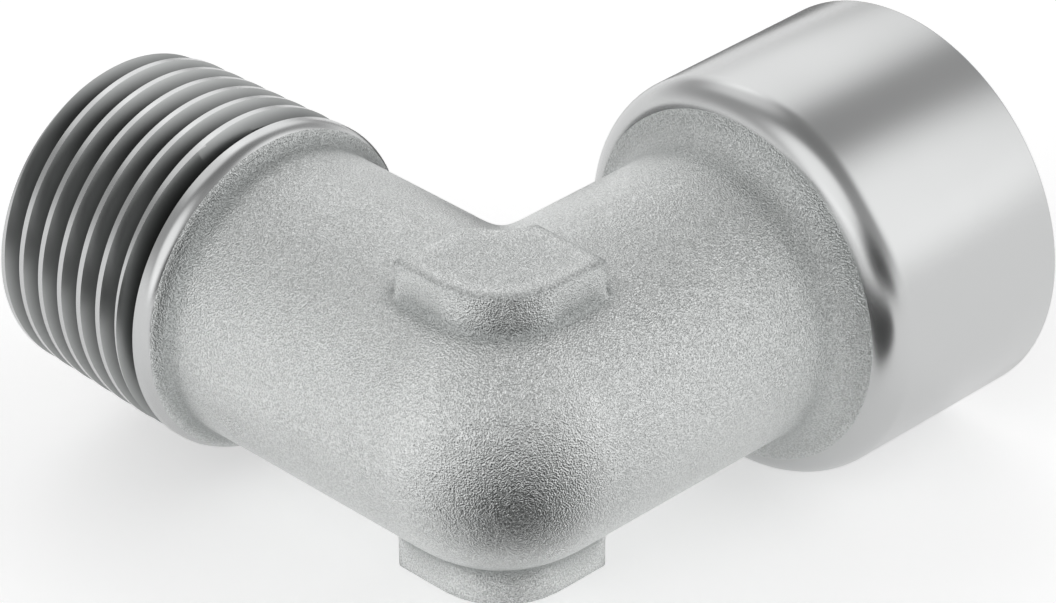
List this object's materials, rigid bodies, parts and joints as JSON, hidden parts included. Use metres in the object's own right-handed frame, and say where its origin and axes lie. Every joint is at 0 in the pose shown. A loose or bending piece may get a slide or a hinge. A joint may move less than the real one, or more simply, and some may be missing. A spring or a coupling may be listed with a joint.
{
  "type": "elbow fitting",
  "caption": "Forged right-angle pipe elbow with a male taper thread, a turned female socket and a spanner pad on each side of the corner.",
  "frame": {"origin": "where the axes of the two ports cross, in the middle of the elbow's corner", "axes": "-X points out of the male end, +Y points out of the female end, +Z is square to both and points out of the upper spanner pad"},
  "size_m": [0.0466, 0.0454, 0.026],
  "materials": {
    "plated_brass": "nickel plated: blasted grain on the forged body, smooth where it is turned"
  },
  "bodies": {
    "root": {"elbow_body": "plated_brass"}
  },
  "joints": []
}
